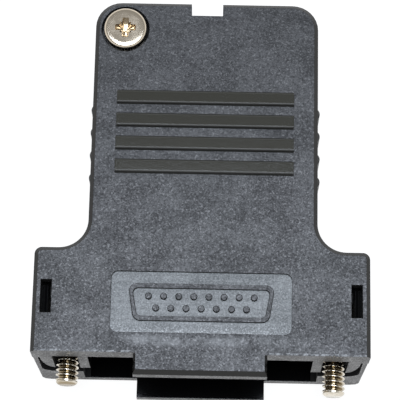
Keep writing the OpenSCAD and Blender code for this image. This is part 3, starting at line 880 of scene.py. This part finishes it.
def build_hook_tip(side):
    """Sloping lead-in on top of a snap hook, under its window."""
    sign = -1 if side == "left" else 1
    inside, outside, foot, peak = 18.9, 19.3, 6.45, 7.05
    front, back, taper, end_drop = 5.1, 8.7, 0.2, 0.7
    lip, flat = 0.08, 0.06
    section = [(inside, foot), (outside, foot), (outside, foot + lip), (inside + flat, peak), (inside, peak)]
    rings = [
        [(sign * x, y, foot + (z - foot) * drop) for x, z in section]
        for y, drop in ((front, end_drop), (front + taper, 1.0), (back - taper, 1.0), (back, end_drop))
    ]
    tip = link_mesh(side + "_hook_tip", *tube(rings), smooth_angle=20)
    give(tip, HOOK_SHADE_PLASTIC, "hood", "base_plastic")


def d_outline(half_w, half_h, radius, slope, steps=8):
    """Closed outline of a D-shaped connector face: a wide top, a narrower bottom, round corners."""
    corners = [(half_w, half_h), (-half_w, half_h), (-half_w + slope, -half_h), (half_w - slope, -half_h)]
    corners = [Vector(corner) for corner in corners]
    points = []
    for i, corner in enumerate(corners):
        to_prev = (corners[i - 1] - corner).normalized()
        to_next = (corners[(i + 1) % 4] - corner).normalized()
        half = to_prev.angle(to_next) / 2
        centre = corner + (to_prev + to_next).normalized() * radius / math.sin(half)
        start = corner + to_prev * radius / math.tan(half) - centre
        sweep = start.angle_signed(corner + to_next * radius / math.tan(half) - centre)
        for s in range(steps + 1):
            points.append(centre + Matrix.Rotation(-sweep * s / steps, 2) @ start)
    return points


def raised_rings(outline, centre, levels, sign):
    """Rings of an outline round a centre at each level's height, moved in (-1) or out (1) by its inset."""
    rings = []
    for height, inset in levels:
        stretch = [1 + sign * inset / point.length for point in outline]
        rings.append([
            (centre[0] + point.x * k, centre[1] + point.y * k, height) for point, k in zip(outline, stretch)
        ])
    return rings


def build_port_sign():
    """Generic raised sign in the recessed panel: the face of a 15-way port, its frame and its pins."""
    middle = (0.0, PANEL_MIDDLE)
    foot, top, edge = PANEL_LEVEL - 0.05, TOP_Z - 0.03, 0.07
    levels = [(foot, 0.0), (top - edge, 0.0), (top, edge)]
    outer = d_outline(half_w=9.05, half_h=2.35, radius=1.0, slope=0.75)
    inner = d_outline(half_w=8.45, half_h=1.75, radius=0.6, slope=0.6)
    rings = raised_rings(outer, middle, levels, -1) + raised_rings(inner, middle, levels[::-1], 1)
    figures = [tube(rings, capped=False)]
    pin_r, pin_pitch, row_gap, around = 0.42, 1.85, 1.5, 24
    turns = [TAU * k / around for k in range(around)]
    dot = [Vector((pin_r * math.cos(a), pin_r * math.sin(a))) for a in turns]
    for row, pins in ((1, 8), (-1, 7)):
        for i in range(pins):
            spot = (middle[0] + (i - (pins - 1) / 2) * pin_pitch, middle[1] + row * row_gap / 2)
            figures.append(tube(raised_rings(dot, spot, levels, -1)))
    verts, faces = [], []
    for points, sides in figures:
        faces += [tuple(len(verts) + i for i in face) for face in sides]
        verts += points
    give(link_mesh("port_sign", verts, faces, smooth_angle=30), COVER_PLASTIC, "hood", "cover_plastic")


dress_cad_nodes()
for side_name in ("left", "right"):
    build_jackscrew(side_name)
    build_retaining_ring(side_name)
    build_hook_tip(side_name)
    build_pan_screw(side_name + "_clamp_screw", head_height=1.8)
    build_hex_nut(side_name + "_clamp_nut")
build_pan_screw("housing_screw", head_height=2.3)
build_hex_nut("housing_nut")
build_port_sign()


# ------------------------------------------------------- floor, light and camera

def shown_white(n):
    """1 where the camera, a reflection or a clear piece looks at the surroundings, 0 where they light."""
    paths = n.add("LightPath").outputs
    return n.most(paths["Is Camera Ray"], paths["Is Glossy Ray"], paths["Is Transmission Ray"])


def white_floor():
    """White floor: what the camera and reflections see is lifted to white, and the object's shadow stays."""
    material, n, _ = new_material("pale_floor")
    seen = shown_white(n)
    away = n.add("VectorMath", {0: here(n)}, operation="LENGTH").outputs["Value"]
    lift = n.times(seen, n.ramp(away, 60 * MM, 350 * MM, 0.92, 1.0))
    paint = n.add("BsdfDiffuse", {"Color": n.mix(seen, (0.9, 0.9, 0.9, 1), (0.16, 0.16, 0.16, 1))})
    glow = n.add("Emission", {"Color": (1, 1, 1, 1), "Strength": lift})
    both = n.add("AddShader", {0: paint.outputs[0], 1: glow.outputs[0]})
    sink = next(node for node in material.node_tree.nodes if node.type == "OUTPUT_MATERIAL")
    n.put(sink.inputs["Surface"], both.outputs[0])
    return material


def build_floor():
    reach, gap = 900, 0.01
    level = CAD_LOW[2] / MM - gap
    corners = [(x * reach, y * reach, level) for x, y in ((-1, -1), (1, -1), (1, 1), (-1, 1))]
    floor = link_mesh("floor", corners, [(0, 1, 2, 3)])
    floor.data.materials.append(white_floor())


def add_softbox(name, place, target, width, height, watts, colour):
    """A rectangular soft light that looks at its target."""
    light = bpy.data.lights.new(name, "AREA")
    light.shape = "RECTANGLE"
    light.size, light.size_y = width, height
    light.energy = watts
    light.color = colour
    lamp = bpy.data.objects.new(name, light)
    bpy.context.scene.collection.objects.link(lamp)
    lamp.location = place
    lamp.rotation_euler = (Vector(target) - lamp.location).to_track_quat("-Z", "Y").to_euler()


def light_scene():
    """A big soft light overhead and a little behind, in pale surroundings."""
    world = bpy.data.worlds.new("studio")
    world.use_nodes = True
    n = Nodes(world.node_tree)
    background = world.node_tree.nodes["Background"]
    seen = shown_white(n)
    surroundings, ceiling = 0.25, 0.35
    # white all round the horizon, with a dim ceiling above it
    height = n.parts(n.add("TexCoord").outputs["Generated"])["Z"]
    shown = n.times(seen, n.ramp(height, 0.40, 0.75, 1.0, ceiling))
    n.put(background.inputs["Color"], n.mix(seen, (1.0, 0.97, 0.93, 1), (1, 1, 1, 1)))
    n.put(background.inputs["Strength"], n.plus(shown, n.times(n.outside(seen), surroundings)))
    bpy.context.scene.world = world
    add_softbox(
        "overhead", place=(0.0, 0.015, 0.60), target=(0, 0.015, 0),
        width=0.34, height=0.33, watts=3.8, colour=(0.85, 0.92, 1.03),
    )


def place_camera():
    """Looks down on the cover from the connector's side."""
    elevation, azimuth, roll = math.radians(72.86), math.radians(1.765), math.radians(-0.593)
    distance, target = 0.23977, Vector((-0.000425, 0.019494, 0.0083))
    away = Vector((
        math.cos(elevation) * math.sin(azimuth), -math.cos(elevation) * math.cos(azimuth), math.sin(elevation)
    ))
    camera = bpy.data.objects.new("camera", bpy.data.cameras.new("camera"))
    bpy.context.scene.collection.objects.link(camera)
    camera.location = target + distance * away
    facing = (-away).to_track_quat("-Z", "Y").to_matrix()
    camera.rotation_euler = (facing @ Matrix.Rotation(roll, 3, "Z")).to_euler()
    camera.data.sensor_width = 36
    camera.data.lens = 173.81
    camera.data.clip_start = 0.01
    bpy.context.scene.camera = camera


build_floor()
light_scene()
place_camera()
bpy.context.scene.view_settings.view_transform = "Standard"
